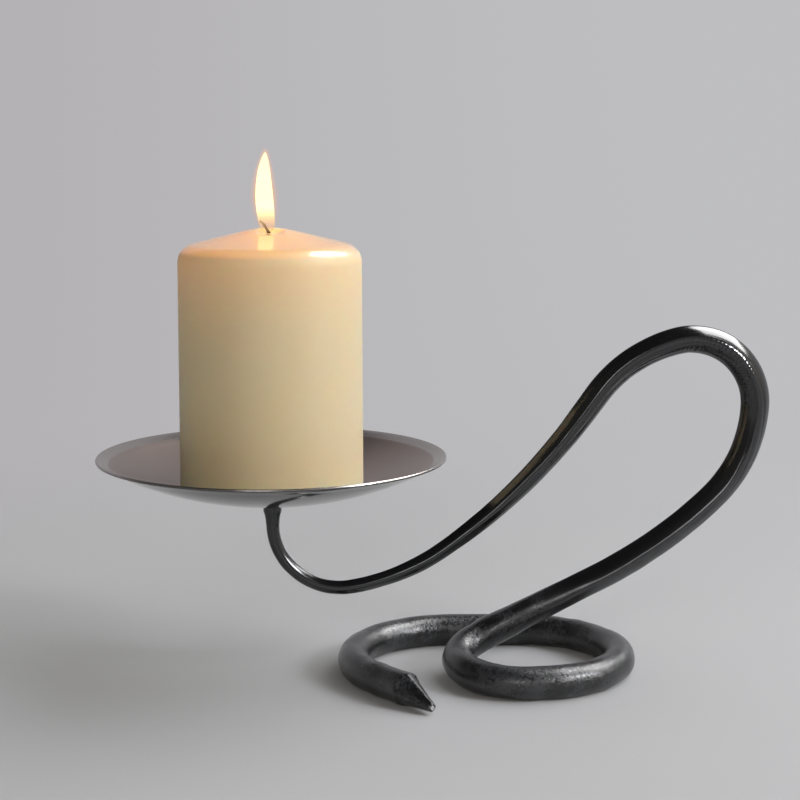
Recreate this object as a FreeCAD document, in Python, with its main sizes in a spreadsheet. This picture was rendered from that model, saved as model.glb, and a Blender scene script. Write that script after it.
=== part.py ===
import FreeCAD, Part
import Sketcher
import math
import os

# Spiral candle holder: a forged bar that is its own foot, stem and arm, a steel dish screwed to the
# end of the arm by a candle spike, and a lit pillar candle on the spike.
# Millimetres and degrees. Z is up, the table is at Z = 0, and the tall loop lies in the XZ plane.
# The origin is on the table, under the middle of the object's overall length and width.

SIZES = [
    # Bar widths, corner to corner, from the foot to the neck
    ("foot_width", 12.7, "round bar as bought"),
    ("riser_width", 11.2, "bar at the top of the straight riser"),
    ("loop_side_width", 11.8, "bar at the outermost point of the loop"),
    ("loop_top_width", 10.7, "bar at the top of the loop"),
    ("shoulder_width", 10.1, "bar where the arm leaves the loop"),
    ("arm_width", 6.7, "bar in the middle of the arm"),
    ("low_arm_width", 5.7, "bar at the lowest point of the arm"),
    ("neck_width", 4.9, "bar under the pad"),
    ("foot_fullness", 1.0, "1 is a round section"),
    ("loop_fullness", 0.85, "side over corner radius, 0.71 is a square bar"),
    ("arm_fullness", 0.82, "side over corner radius"),
    ("neck_fullness", 0.96, "side over corner radius"),
    ("foot_flat_depth", 0.3, "filed off the underside of the foot"),
    # Pointed tail
    ("tail_heading", 121.0, "direction of the tail, from +X towards +Y"),
    ("tail_straight", 19.5, "full bar between the point and the first bend"),
    ("point_length", 14.5, "drawn-down point"),
    ("point_width", 3.8, "ground end of the point"),
    ("point_height", 2.8, "middle of the ground end above the table"),
    ("tail_fullness", 0.86, "side over corner radius at the point's root"),
    # Bends of the foot, in the table's plane, then up out of it
    ("outer_bend_radius", 41.0, "bend between the tail and the back"),
    ("back_heading", -7.0, "direction of the straight back"),
    ("back_straight", 25.0, "straight back of the foot"),
    ("ring_back_radius", 37.0, "rear quarter of the ring"),
    ("ring_front_radius", 36.5, "front quarter of the ring"),
    ("ring_straight", 3.0, "straight front of the ring"),
    ("lift_bend_radius", 24.5, "bend in which the bar leaves the table"),
    ("lift_slope", 3.0, "slope after that bend"),
    ("lift_straight", 3.0, "straight before the riser's bend"),
    ("riser_bend_radius", 13.5, "bend into the riser"),
    # Bends of the riser, loop and arm, in the loop's plane
    ("riser_slope", 25.5, "slope of the riser"),
    ("riser_straight", 51.0, "straight riser"),
    ("rise_radius", 173.0, "slow bend up from the riser"),
    ("rise_heading", 43.5, "heading after it"),
    ("side_radius", 52.0, "outer side of the loop"),
    ("side_heading", 87.0, "heading after it"),
    ("crown_radius", 26.0, "tight turn over the top"),
    ("crown_heading", 193.0, "heading after it"),
    ("shoulder_radius", 54.0, "bend down into the arm"),
    ("shoulder_heading", 233.5, "heading after it"),
    ("arm_straight", 10.0, "straight between the two bends of the arm"),
    ("arm_radius", 217.0, "slow reverse bend of the arm"),
    ("arm_heading", 213.6, "heading after it"),
    ("low_arm_radius", 84.5, "bend along the bottom of the arm"),
    ("low_arm_heading", 188.0, "heading after it"),
    ("hook_radius", 27.0, "turn up towards the dish"),
    ("hook_heading", 121.0, "heading after it"),
    ("neck_radius", 24.0, "last bend, which ends upright"),
    ("neck_straight", 9.6, "upright neck"),
    # Pad under the dish
    ("pad_root_diameter", 5.2, "foot of the flare, just over the neck"),
    ("pad_flare", 5.2, "from the neck out to the collar"),
    ("pad_diameter", 7.2, "collar that meets the dish"),
    ("pad_collar", 4.2, "height of the collar"),
    # Dish
    ("dish_diameter", 133.0, "overall"),
    ("dish_sheet", 1.0, "thickness"),
    ("dish_bowl_depth", 14.7, "from the seat to the crease"),
    ("dish_lip_width", 4.8, "from the crease to the rim"),
    ("dish_lip_rise", 1.9, "height of the lip"),
    ("dish_seat_radius", 4.4, "flat in the middle"),
    # Spike
    ("stud_diameter", 3.0, "screwed end"),
    ("stud_clearance", 0.1, "round the stud in the dish and in the pad"),
    ("stud_grip", 5.0, "depth of the stud in the pad"),
    ("stud_end_gap", 0.6, "under the stud in the pad"),
    ("flange_diameter", 8.0, "flange that holds the dish down"),
    ("flange_thickness", 1.2, ""),
    ("spike_diameter", 4.0, "root of the spike"),
    ("spike_length", 24.0, "from the flange to the tip"),
    ("spike_tip", 0.6, "diameter of the blunt tip"),
    # Candle
    ("candle_diameter", 69.4, "at the bottom"),
    ("candle_draft", 0.6, "how much narrower the top is"),
    ("candle_height", 97.5, "to the top of the burnt dome"),
    ("candle_dome_radius", 64.0, "burnt top"),
    ("candle_shoulder", 5.0, "rounded upper edge"),
    ("candle_foot_round", 1.0, "rounded lower edge"),
    ("candle_gap", 0.3, "between the wax and the metal"),
    # Wick and flame
    ("wick_diameter", 1.2, ""),
    ("wick_gap", 0.1, "round the wick in the wax"),
    ("wick_floor", 8.9, "wax between the spike's tip and the buried end of the wick"),
    ("wick_root_radius", 3.0, "bend at the wax"),
    ("wick_lean", 30.0, "lean from upright"),
    ("wick_straight", 3.2, "between the two bends"),
    ("wick_end_radius", 5.0, "charred, drooping end"),
    ("wick_end_lean", 60.0, "lean of the end from upright"),
    ("flame_width", 6.6, "widest"),
    ("flame_height", 28.5, ""),
    ("flame_belly", 11.5, "height of the widest place"),
    ("flame_foot_width", 4.6, "where the flame starts on the wick"),
    ("flame_tip_width", 0.5, "blunt end"),
    ("flame_rise", 0.9, "start of the flame above the wax"),
    ("flame_offset", 1.5, "flame's axis beside the candle's axis, on the wick's side"),
    ("flame_gap", 0.15, "round the wick inside the flame"),
]

doc = FreeCAD.newDocument("spiral_candle_holder")
sheet = doc.addObject("Spreadsheet::Sheet", "Sheet")
sheet.Label = "sizes"


def enter(row, alias, value, note):
    """Put one named number on this row of the sheet."""
    sheet.set("A%d" % row, alias)
    sheet.set("B%d" % row, str(value))
    sheet.setAlias("B%d" % row, alias)
    sheet.set("C%d" % row, note)


for row, (alias, value, note) in enumerate(SIZES, start=1):
    enter(row, alias, value, note)
doc.recompute()


def size(alias):
    """The number in the sheet under this name."""
    return float(sheet.get(alias))


def bind(thing, path, expression):
    """Tie one property or constraint to an expression on the sheet."""
    thing.setExpression(path, expression.replace("$", "Sheet."))


# Centre line and sections of the bar

X_AXIS = FreeCAD.Vector(1, 0, 0)
Z_AXIS = FreeCAD.Vector(0, 0, 1)


def flat_heading(degrees):
    """Unit vector in the table's plane."""
    angle = math.radians(degrees)
    return FreeCAD.Vector(math.cos(angle), math.sin(angle), 0)


def loop_heading(degrees):
    """Unit vector in the loop's plane."""
    angle = math.radians(degrees)
    return FreeCAD.Vector(math.cos(angle), 0, math.sin(angle))


class Bar:
    """A bar laid out piece by piece: where it is, where it heads, and its section there."""

    def __init__(self, place, heading, normal, width, fullness):
        self.place = place
        self.heading = heading
        self.normal = normal
        self.edges = []
        self.length = 0.0
        self.knots = [(self.length, place, heading, normal)]
        self.marks = []
        self.mark(width, fullness)

    def mark(self, width, fullness):
        """Give the bar this section at the place it has reached."""
        self.knots[-1] = (self.length, self.place, self.heading, self.normal)
        self.marks.append((self.length, width, fullness))

    def sections(self):
        """Every knot with its width and fullness, in proportion between the marked ones."""
        found = []
        for length, place, heading, normal in self.knots:
            before = [mark for mark in self.marks if mark[0] <= length][-1]
            after = [mark for mark in self.marks if mark[0] >= length][0]
            span = after[0] - before[0]
            share = (length - before[0]) / span if span > 0 else 0.0
            width = before[1] + (after[1] - before[1]) * share
            fullness = before[2] + (after[2] - before[2]) * share
            found.append((place, heading, normal, width, fullness))
        return found

    def carry_normal(self, heading):
        """Turn the section's normal with the heading, without a twist about it."""
        turn = FreeCAD.Rotation(self.heading, heading)
        self.normal = turn.multVec(self.normal)
        self.heading = heading

    def line(self, length):
        """Straight run."""
        end = self.place + self.heading * length
        self.edges.append(Part.LineSegment(self.place, end).toShape())
        self.place = end
        self.length += length
        self.knots.append((self.length, self.place, self.heading, self.normal))

    def bend(self, radius, heading):
        """Tangent arc that leaves the bar on this heading."""
        angle = self.heading.getAngle(heading)
        inward = heading - self.heading * self.heading.dot(heading)
        inward.normalize()
        centre = self.place + inward * radius
        halfway = self.heading * math.sin(angle / 2) - inward * math.cos(angle / 2)
        middle = centre + halfway * radius
        end = centre + (self.heading * math.sin(angle) - inward * math.cos(angle)) * radius
        self.edges.append(Part.Arc(self.place, middle, end).toShape())
        self.place = end
        self.carry_normal(heading)
        self.length += radius * angle
        self.knots.append((self.length, self.place, self.heading, self.normal))


def section(place, heading, normal, width, fullness):
    """Closed section of four bowed sides. Its corners lie on the normal and square to it."""
    across = heading.cross(normal)
    half = width / 2
    corners = [normal * half, across * half, normal * -half, across * -half]
    sides = []
    for here, there in zip(corners, corners[1:] + corners[:1]):
        middle = (here + there) * (fullness / math.sqrt(2))
        sides.append(Part.Arc(place + here, place + middle, place + there).toShape())
    return Part.Wire(sides)


def swept_bar(bar):
    """Solid along the bar's centre line, with a section at the end of every run and bend."""
    spine = Part.Wire(bar.edges)
    shell = Part.BRepOffsetAPI.MakePipeShell(spine)
    for place, heading, normal, width, fullness in bar.sections():
        knot = min(spine.Vertexes, key=lambda vertex: vertex.Point.distanceToPoint(place))
        shell.add(section(place, heading, normal, width, fullness), knot, False, False)
    shell.build()
    shell.makeSolid()
    return shell.shape()


foot_width = size("foot_width")
foot_height = foot_width / 2 - size("foot_flat_depth")
tail_heading = flat_heading(size("tail_heading"))
bar = Bar(FreeCAD.Vector(0, 0, foot_height), tail_heading, Z_AXIS, foot_width, size("tail_fullness"))
bar.line(size("tail_straight"))
bar.mark(foot_width, size("foot_fullness"))
bar.bend(size("outer_bend_radius"), flat_heading((size("tail_heading") + size("back_heading")) / 2))
bar.bend(size("outer_bend_radius"), flat_heading(size("back_heading")))
bar.line(size("back_straight"))
bar.bend(size("ring_back_radius"), flat_heading(-90))
bar.bend(size("ring_front_radius"), flat_heading(-180))
bar.line(size("ring_straight"))
lift = math.radians(size("lift_slope"))
bar.bend(size("lift_bend_radius"), FreeCAD.Vector(0, math.cos(lift), math.sin(lift)))
bar.line(size("lift_straight"))
bar.bend(size("riser_bend_radius"), loop_heading(size("riser_slope")))
bar.mark(foot_width, size("foot_fullness"))
bar.line(size("riser_straight"))
bar.normal = loop_heading(size("riser_slope") + 90)
bar.mark(size("riser_width"), size("loop_fullness"))

LOOP_BENDS = [
    ("rise_radius", "rise_heading", "riser_width", "loop_fullness"),
    ("side_radius", "side_heading", "loop_side_width", "loop_fullness"),
    ("crown_radius", "crown_heading", "loop_top_width", "loop_fullness"),
    ("shoulder_radius", "shoulder_heading", "shoulder_width", "arm_fullness"),
]
ARM_BENDS = [
    ("arm_radius", "arm_heading", "arm_width", "arm_fullness"),
    ("low_arm_radius", "low_arm_heading", "low_arm_width", "arm_fullness"),
    ("hook_radius", "hook_heading", "neck_width", "neck_fullness"),
]


def bend_through(bends):
    """Add these bends in the loop's plane, each with the section at its end."""
    for radius, heading, width, fullness in bends:
        bar.bend(size(radius), loop_heading(size(heading)))
        bar.mark(size(width), size(fullness))


bend_through(LOOP_BENDS)
bar.line(size("arm_straight"))
bend_through(ARM_BENDS)
bar.bend(size("neck_radius"), Z_AXIS)
bar.line(size("neck_straight"))
bar.mark(size("neck_width"), size("neck_fullness"))
swept = swept_bar(bar)

# The dish stands on the end of the bar. The origin goes under the middle of the overall length.
dish_radius = size("dish_diameter") / 2
reach = swept.optimalBoundingBox().XMax
middle_x = (bar.place.x - dish_radius + reach) / 2
to_origin = FreeCAD.Vector(-middle_x, -bar.place.y, 0)
dish_place = bar.place + to_origin


def own_shape(name, shape, place=None):
    """Document object that holds a shape laid out above."""
    thing = doc.addObject("Part::Feature", name)
    thing.Shape = shape
    if place is not None:
        thing.Placement = FreeCAD.Placement(place, FreeCAD.Rotation())
    return thing


def primitive(kind, name, place, **expressions):
    """Part primitive whose sizes are expressions on the sheet."""
    thing = doc.addObject(kind, name)
    for path, expression in expressions.items():
        bind(thing, path, expression)
    thing.Placement = FreeCAD.Placement(place, FreeCAD.Rotation())
    return thing


def cut(name, base, tool):
    """Base less tool."""
    thing = doc.addObject("Part::Cut", name)
    thing.Base = base
    thing.Tool = tool
    return thing


def plane_of(body, role):
    """One of the body's own origin planes."""
    return [thing for thing in body.Origin.OriginFeatures if thing.Role == role][0]


class Profile:
    """Half section of a turned piece: a closed outline of lines and arcs in a body's XZ plane."""

    def __init__(self, name, corners, centres, closed=True):
        """Draw the outline. centres gives, for each edge that is an arc, where its centre is."""
        self.body = doc.addObject("PartDesign::Body", name)
        self.sketch = self.body.newObject("Sketcher::SketchObject", name + "_profile")
        self.sketch.AttachmentSupport = (plane_of(self.body, "XZ_Plane"), [""])
        self.sketch.MapMode = "FlatFace"
        self.corners = [FreeCAD.Vector(x, z, 0) for x, z in corners]
        self.centres = {edge: FreeCAD.Vector(x, z, 0) for edge, (x, z) in centres.items()}
        edges = len(corners) if closed else len(corners) - 1
        for edge in range(edges):
            self.sketch.addGeometry(self.drawn_edge(edge), False)
        joints = edges if closed else edges - 1
        for edge in range(joints):
            after = (edge + 1) % edges
            self.add("Coincident", edge, self.far_end(edge), after, self.near_end(after))

    def drawn_edge(self, edge):
        """Line or arc from this corner to the next."""
        start = self.corners[edge]
        end = self.corners[(edge + 1) % len(self.corners)]
        if edge not in self.centres:
            return Part.LineSegment(start, end)
        centre = self.centres[edge]
        outward = (start + end) * 0.5 - centre
        outward.normalize()
        return Part.Arc(start, centre + outward * start.distanceToPoint(centre), end)

    def near_end(self, edge):
        """Which point of this edge lies on its first corner."""
        return 1 if self.sketch.getPoint(edge, 1).distanceToPoint(self.corners[edge]) < 1e-6 else 2

    def far_end(self, edge):
        """Which point of this edge lies on the next corner."""
        return 3 - self.near_end(edge)

    def add(self, kind, *what):
        """Constraint between parts of the outline."""
        return self.sketch.addConstraint(Sketcher.Constraint(kind, *what))

    def measure(self, expression, kind, *what):
        """Dimension whose value is an expression on the sheet. The last of what is its value as drawn."""
        index = self.sketch.addConstraint(Sketcher.Constraint(kind, *what))
        bind(self.sketch, "Constraints[%d]" % index, expression)

    def pin(self, edge, across, up, point=None):
        """Hold an edge's first corner, or another point of it, this far from the axis and the base."""
        point = point or self.near_end(edge)
        place = self.sketch.getPoint(edge, point)
        if across is not None:
            self.measure(across, "DistanceX", -1, 1, edge, point, place.x)
        if up is not None:
            self.measure(up, "DistanceY", -1, 1, edge, point, place.y)

    def turn(self):
        """Revolve the outline about the upright axis."""
        turned = self.body.newObject("PartDesign::Revolution", self.body.Name + "_turned")
        turned.Profile = self.sketch
        turned.ReferenceAxis = (self.sketch, ["V_Axis"])
        turned.Angle = 360
        return self.body


AT_CENTRE = 3


def tangent_radius(run, rise):
    """Radius of an arc that starts along one axis and goes this far along it and to its side."""
    return (run * run + rise * rise) / (2 * rise)


# Forged stem: the swept bar, its point, its pad and its filed foot

tail = bar.knots[0]
point_axis = tail[1] - tail_heading * size("point_length")
point_place = FreeCAD.Vector(point_axis.x, point_axis.y, size("point_height"))
root_section = section(tail[1], tail[2], tail[3], foot_width, size("tail_fullness"))
end_section = section(point_place, tail[2], tail[3], size("point_width"), size("tail_fullness"))
bar_sweep = own_shape("bar_sweep", swept, to_origin)
point_root = own_shape("point_root", root_section, to_origin)
point_end = own_shape("point_end", end_section, to_origin)
tail_point = doc.addObject("Part::Loft", "tail_point")
tail_point.Sections = [point_end, point_root]
tail_point.Solid = True
tail_point.Ruled = True


def pad_body():
    """End of the neck: a trumpet-shaped flare and a short collar, whose face meets the dish."""
    root = size("pad_root_diameter") / 2
    collar = size("pad_diameter") / 2
    flare = size("pad_flare")
    top = flare + size("pad_collar")
    hollow = tangent_radius(flare, collar - root)
    corners = [(0, 0), (root, 0), (collar, flare), (collar, top), (0, top)]
    base, flare_edge, side, face, axis = range(5)
    profile = Profile("pad", corners, {flare_edge: (root + hollow, 0)})
    profile.pin(base, "0", "0")
    profile.pin(flare_edge, "$pad_root_diameter / 2", "0")
    profile.pin(side, "$pad_diameter / 2", "$pad_flare")
    profile.pin(face, "$pad_diameter / 2", "$pad_flare + $pad_collar")
    profile.pin(axis, "0", "$pad_flare + $pad_collar")
    profile.pin(flare_edge, None, "0", AT_CENTRE)
    return profile.turn()


pad = pad_body()
pad.Placement.Base = dish_place - Z_AXIS * (size("pad_flare") + size("pad_collar"))
rough_stem = doc.addObject("Part::MultiFuse", "rough_stem")
rough_stem.Shapes = [bar_sweep, tail_point, pad]
below_table = primitive(
    "Part::Box",
    "below_table",
    FreeCAD.Vector(-size("dish_diameter"), -size("dish_diameter"), -foot_width),
    Length="2 * $dish_diameter",
    Width="2 * $dish_diameter",
    Height="$foot_width",
)
filed_stem = cut("filed_stem", rough_stem, below_table)
stud_hole_depth = size("stud_grip") + size("stud_end_gap")
stud_hole = primitive(
    "Part::Cylinder",
    "stud_hole",
    dish_place - Z_AXIS * stud_hole_depth,
    Radius="$stud_diameter / 2 + $stud_clearance",
    Height="$stud_grip + $stud_end_gap",
)
forged_stem = cut("forged_stem", filed_stem, stud_hole)

# Drip dish: a spun sheet with a flat seat, a tangent bowl, a crease and a lip

dish_seat = size("dish_seat_radius")
dish_sheet = size("dish_sheet")
lip_slope = math.atan2(size("dish_lip_rise"), size("dish_lip_width"))
rim_radius = dish_radius - dish_sheet * math.sin(lip_slope)
crease_radius = rim_radius - size("dish_lip_width")
bowl_run = crease_radius ** 2 - dish_seat ** 2
bowl_rise = size("dish_bowl_depth")
bowl_height = (bowl_run + bowl_rise ** 2) / (2 * bowl_rise)
bowl_radius = math.hypot(bowl_height, dish_seat)


def dish_body():
    """Half section of the sheet, the underside first and then back along the inside."""
    hole = size("stud_diameter") / 2 + size("stud_clearance")
    thickness = (dish_sheet * math.sin(lip_slope), -dish_sheet * math.cos(lip_slope))
    crease = (crease_radius, dish_sheet + size("dish_bowl_depth"))
    rim = (rim_radius, crease[1] + size("dish_lip_rise"))
    rim_under = (rim[0] + thickness[0], rim[1] + thickness[1])
    bowl_centre = (0, dish_sheet + bowl_height)
    crease_under = (crease[0] + thickness[0], crease[1] + thickness[1])
    profile = Profile(
        "drip_dish",
        [(hole, 0), (dish_seat, 0), crease_under, rim_under, rim, crease, (dish_seat, dish_sheet),
         (hole, dish_sheet)],
        {1: bowl_centre, 5: bowl_centre},
    )
    seat_under, bowl_under, lip_under, rim_edge, lip, bowl, seat, hole_wall = range(8)
    rim_x = "$dish_diameter / 2 - $dish_sheet * $dish_lip_rise / sqrt($dish_lip_width^2 + $dish_lip_rise^2)"
    profile.pin(seat_under, "$stud_diameter / 2 + $stud_clearance", "0")
    profile.pin(bowl_under, "$dish_seat_radius", "0")
    profile.pin(lip, rim_x, "$dish_sheet + $dish_bowl_depth + $dish_lip_rise")
    profile.pin(bowl, rim_x + " - $dish_lip_width", "$dish_sheet + $dish_bowl_depth")
    profile.pin(seat, "$dish_seat_radius", "$dish_sheet")
    profile.pin(hole_wall, "$stud_diameter / 2 + $stud_clearance", "$dish_sheet")
    profile.pin(bowl, "0", None, AT_CENTRE)
    profile.add("Coincident", bowl_under, AT_CENTRE, bowl, AT_CENTRE)
    profile.add("Parallel", lip_under, lip)
    profile.add("Perpendicular", rim_edge, lip)
    profile.measure("$dish_sheet", "Distance", rim_edge, dish_sheet)
    return profile.turn()


drip_dish = dish_body()
drip_dish.Placement.Base = dish_place

# Candle spike: stud, flange and spike in one, from the end of the stud upwards

stud_length = size("stud_grip") + dish_sheet


def spike_body():
    """Half section of the spike."""
    stud = size("stud_diameter") / 2
    flange = size("flange_diameter") / 2
    root = size("spike_diameter") / 2
    tip = size("spike_tip") / 2
    flange_top = stud_length + size("flange_thickness")
    top = flange_top + size("spike_length")
    corners = [(0, 0), (stud, 0), (stud, stud_length), (flange, stud_length), (flange, flange_top),
               (root, flange_top), (tip, top), (0, top)]
    under = "$stud_grip + $dish_sheet"
    above = under + " + $flange_thickness"
    highest = above + " + $spike_length"
    profile = Profile("candle_spike", corners, {})
    pins = [("0", "0"), ("$stud_diameter / 2", "0"), ("$stud_diameter / 2", under),
            ("$flange_diameter / 2", under), ("$flange_diameter / 2", above),
            ("$spike_diameter / 2", above), ("$spike_tip / 2", highest), ("0", highest)]
    for edge, (across, up) in enumerate(pins):
        profile.pin(edge, across, up)
    return profile.turn()


candle_spike = spike_body()
candle_spike.Placement.Base = dish_place - Z_AXIS * size("stud_grip")

# Candle: it stands on its rounded lower edge, in the bowl of the dish

candle_radius = size("candle_diameter") / 2
candle_gap = size("candle_gap")
foot_round = size("candle_foot_round")
to_round = bowl_radius - candle_gap - foot_round
round_level = bowl_height - math.sqrt(to_round ** 2 - (candle_radius - foot_round) ** 2)
candle_seat = dish_sheet + round_level - foot_round
candle_place = dish_place + Z_AXIS * candle_seat
candle_top = candle_place + Z_AXIS * size("candle_height")
spike_root = dish_place + Z_AXIS * (dish_sheet + size("flange_thickness"))
spike_top = spike_root + Z_AXIS * (size("spike_length") + candle_gap)
wick_buried = candle_top.z - spike_top.z - size("wick_floor")
enter(len(SIZES) + 1, "wick_buried", round(wick_buried, 3), "worked out: length inside the wax")
doc.recompute()


def wax_body():
    """Half section of the pillar: rounded foot, slightly drawn-in side, rounded shoulder and dome."""
    height = size("candle_height")
    dome = size("candle_dome_radius")
    shoulder = size("candle_shoulder")
    top_radius = candle_radius - size("candle_draft") / 2
    dome_centre = (0, height - dome)
    shoulder_x = top_radius - shoulder
    shoulder_rise = math.sqrt((dome - shoulder) ** 2 - shoulder_x ** 2)
    shoulder_centre = (shoulder_x, dome_centre[1] + shoulder_rise)
    reach_out = dome / (dome - shoulder)
    dome_edge = (shoulder_x * reach_out, dome_centre[1] + shoulder_rise * reach_out)
    corners = [(0, 0), (candle_radius - foot_round, 0), (candle_radius, foot_round),
               (top_radius, shoulder_centre[1]), dome_edge, (0, height)]
    base, round_edge, side, shoulder_edge, dome_arc, axis = range(6)
    profile = Profile(
        "wax",
        corners,
        {round_edge: (candle_radius - foot_round, foot_round), shoulder_edge: shoulder_centre,
         dome_arc: dome_centre},
    )
    across = "($candle_diameter / 2 - $candle_draft / 2 - $candle_shoulder)"
    rise = "sqrt(($candle_dome_radius - $candle_shoulder)^2 - %s^2)" % across
    stretch = "$candle_dome_radius / ($candle_dome_radius - $candle_shoulder)"
    dome_level = "$candle_height - $candle_dome_radius"
    profile.pin(base, "0", "0")
    profile.pin(round_edge, "$candle_diameter / 2 - $candle_foot_round", "0")
    profile.pin(side, "$candle_diameter / 2", "$candle_foot_round")
    profile.pin(round_edge, None, "$candle_foot_round", AT_CENTRE)
    profile.pin(shoulder_edge, "($candle_diameter - $candle_draft) / 2", dome_level + " + " + rise)
    profile.pin(shoulder_edge, None, dome_level + " + " + rise, AT_CENTRE)
    profile.pin(dome_arc, "%s * %s" % (across, stretch), "%s + %s * %s" % (dome_level, rise, stretch))
    profile.pin(dome_arc, None, dome_level, AT_CENTRE)
    profile.pin(axis, "0", "$candle_height")
    return profile.turn()


wax = wax_body()
wax.Placement.Base = candle_place
spike_hole = primitive(
    "Part::Cone",
    "spike_hole",
    spike_root,
    Radius1="$spike_diameter / 2 + $candle_gap",
    Radius2="$spike_tip / 2 + $candle_gap",
    Height="$spike_length + $candle_gap",
)
wick_hole = primitive(
    "Part::Cylinder",
    "wick_hole",
    candle_top - Z_AXIS * size("wick_buried"),
    Radius="$wick_diameter / 2 + $wick_gap",
    Height="$wick_buried",
)
candle_holes = doc.addObject("Part::MultiFuse", "candle_holes")
candle_holes.Shapes = [spike_hole, wick_hole]
candle = cut("candle", wax, candle_holes)

# Wick: upright in the wax, then bent over twice. It is drawn leaning to +X and turned to lean to -X.

LEAN_TO_LEFT = FreeCAD.Rotation(Z_AXIS, 180)


def wick_body(name, diameter):
    """Round cord of this diameter along the wick's line."""
    buried = size("wick_buried")
    lean = math.radians(size("wick_lean"))
    end_lean = math.radians(size("wick_end_lean"))
    root = size("wick_root_radius")
    straight = size("wick_straight")
    end = size("wick_end_radius")
    root_centre = (root, buried)
    bend_top = (root * (1 - math.cos(lean)), buried + root * math.sin(lean))
    second = (bend_top[0] + straight * math.sin(lean), bend_top[1] + straight * math.cos(lean))
    end_centre = (second[0] + end * math.cos(lean), second[1] - end * math.sin(lean))
    tip = (end_centre[0] - end * math.cos(end_lean), end_centre[1] + end * math.sin(end_lean))
    upright, root_bend, leaning, end_bend = range(4)
    profile = Profile(name, [(0, 0), (0, buried), bend_top, second, tip],
                      {root_bend: root_centre, end_bend: end_centre}, closed=False)
    profile.pin(upright, "0", "0")
    profile.pin(root_bend, "0", "$wick_buried")
    profile.pin(root_bend, "$wick_root_radius", "$wick_buried", AT_CENTRE)
    first_x = "$wick_root_radius * (1 - cos($wick_lean * 1 deg))"
    first_up = "$wick_buried + $wick_root_radius * sin($wick_lean * 1 deg)"
    profile.pin(leaning, first_x, None)
    second_x = first_x + " + $wick_straight * sin($wick_lean * 1 deg)"
    second_up = first_up + " + $wick_straight * cos($wick_lean * 1 deg)"
    profile.pin(end_bend, second_x, second_up)
    centre_x = second_x + " + $wick_end_radius * cos($wick_lean * 1 deg)"
    centre_up = second_up + " - $wick_end_radius * sin($wick_lean * 1 deg)"
    profile.pin(end_bend, centre_x, centre_up, AT_CENTRE)
    profile.pin(end_bend, centre_x + " - $wick_end_radius * cos($wick_end_lean * 1 deg)", None,
                profile.far_end(end_bend))
    ring = profile.body.newObject("Sketcher::SketchObject", name + "_ring")
    ring.AttachmentSupport = (plane_of(profile.body, "XY_Plane"), [""])
    ring.MapMode = "FlatFace"
    ring.addGeometry(Part.Circle(FreeCAD.Vector(), Z_AXIS, size("wick_diameter") / 2), False)
    ring.addConstraint(Sketcher.Constraint("Coincident", 0, AT_CENTRE, -1, 1))
    ring.addConstraint(Sketcher.Constraint("Diameter", 0, size("wick_diameter")))
    bind(ring, "Constraints[1]", diameter)
    pipe = profile.body.newObject("PartDesign::AdditivePipe", name + "_pipe")
    pipe.Profile = ring
    pipe.Spine = (profile.sketch, ["Edge%d" % (edge + 1) for edge in range(4)])
    profile.body.Placement = FreeCAD.Placement(candle_top - Z_AXIS * buried, LEAN_TO_LEFT)
    return profile.body


wick = wick_body("wick", "$wick_diameter")

# Flame: a leaf shape turned about its own axis, open round the wick


def flame_body():
    """Half section of the flame."""
    foot = size("flame_foot_width") / 2
    widest = size("flame_width") / 2
    tip = size("flame_tip_width") / 2
    belly = size("flame_belly")
    height = size("flame_height")
    lower = tangent_radius(belly, widest - foot)
    upper = tangent_radius(height - belly, widest - tip)
    corners = [(0, 0), (foot, 0), (widest, belly), (tip, height), (0, height)]
    base, lower_edge, upper_edge, end, axis = range(5)
    profile = Profile("flame_light", corners,
                      {lower_edge: (widest - lower, belly), upper_edge: (widest - upper, belly)})
    profile.pin(base, "0", "0")
    profile.pin(lower_edge, "$flame_foot_width / 2", "0")
    profile.pin(upper_edge, "$flame_width / 2", "$flame_belly")
    profile.pin(end, "$flame_tip_width / 2", "$flame_height")
    profile.pin(axis, "0", "$flame_height")
    profile.pin(lower_edge, None, "$flame_belly", AT_CENTRE)
    profile.pin(upper_edge, None, "$flame_belly", AT_CENTRE)
    return profile.turn()


flame_light = flame_body()
flame_light.Placement.Base = candle_top + Z_AXIS * size("flame_rise") - X_AXIS * size("flame_offset")
wick_room = wick_body("wick_room", "$wick_diameter + 2 * $flame_gap")
flame = cut("flame", flame_light, wick_room)

PIECES = [forged_stem, drip_dish, candle_spike, candle, wick, flame]

doc.recompute()
failed = [thing.Name for thing in doc.Objects if "Invalid" in thing.State or "Error" in thing.State]
if failed:
    raise RuntimeError("not built: " + ", ".join(failed))
for piece in PIECES:
    if piece.Shape.isNull() or not piece.Shape.isValid():
        raise RuntimeError("bad shape: " + piece.Label)
    if len(piece.Shape.Solids) != 1:
        raise RuntimeError("not one solid: %s has %d" % (piece.Label, len(piece.Shape.Solids)))

os.makedirs("parts", exist_ok=True)
for piece in PIECES:
    piece.Shape.exportStep(os.path.join("parts", piece.Label + ".step"))
    box = piece.Shape.BoundBox
    print("%-13s %10.1f mm3   x %.1f..%.1f   y %.1f..%.1f   z %.1f..%.1f" % (
        piece.Label, piece.Shape.Volume, box.XMin, box.XMax, box.YMin, box.YMax, box.ZMin, box.ZMax))
print("dish axis at x %.2f, underside at z %.2f" % (dish_place.x, dish_place.z))
print("bar length %.0f mm" % bar.length)
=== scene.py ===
"""A spiral candle holder: a forged iron bar, a spun steel dish and a lit pillar candle."""

import logging
import math
import random
from dataclasses import dataclass, field
from enum import Enum
from typing import Any, Callable, Sequence

import bpy
import numpy as np
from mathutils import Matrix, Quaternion, Vector


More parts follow.
